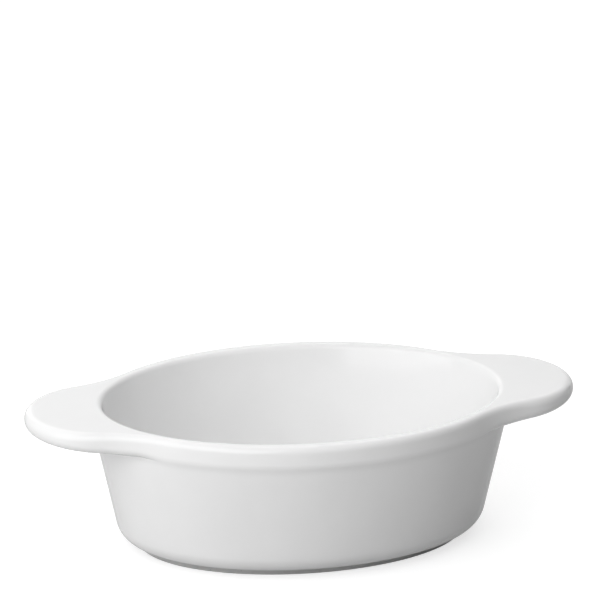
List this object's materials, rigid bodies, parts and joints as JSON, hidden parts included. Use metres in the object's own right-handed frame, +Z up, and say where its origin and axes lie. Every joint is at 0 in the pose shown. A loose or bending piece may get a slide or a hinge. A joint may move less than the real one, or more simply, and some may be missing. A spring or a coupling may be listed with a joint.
{
  "type": "oval cocotte",
  "caption": "White glazed ceramic oval oven dish with leaning walls, a raised collar round the rim, a flat lug handle at each end and a low bare clay foot ring.",
  "frame": {"origin": "on the table, under the middle of the bowl", "axes": "+X along the dish towards the right handle, +Y towards the far side, +Z up through the open rim"},
  "size_m": [0.1976, 0.11, 0.0532],
  "materials": {
    "clay_body": "fired clay, hidden under the glaze",
    "bare_foot": "bare fired clay, matt",
    "white_glaze": "glossy white glaze"
  },
  "bodies": {
    "root": {"bowl_body": "clay_body", "left_handle": "clay_body", "right_handle": "clay_body", "foot_ring": "bare_foot", "inside_glaze": "white_glaze", "outside_glaze": "white_glaze", "base_glaze": "white_glaze"}
  },
  "joints": []
}
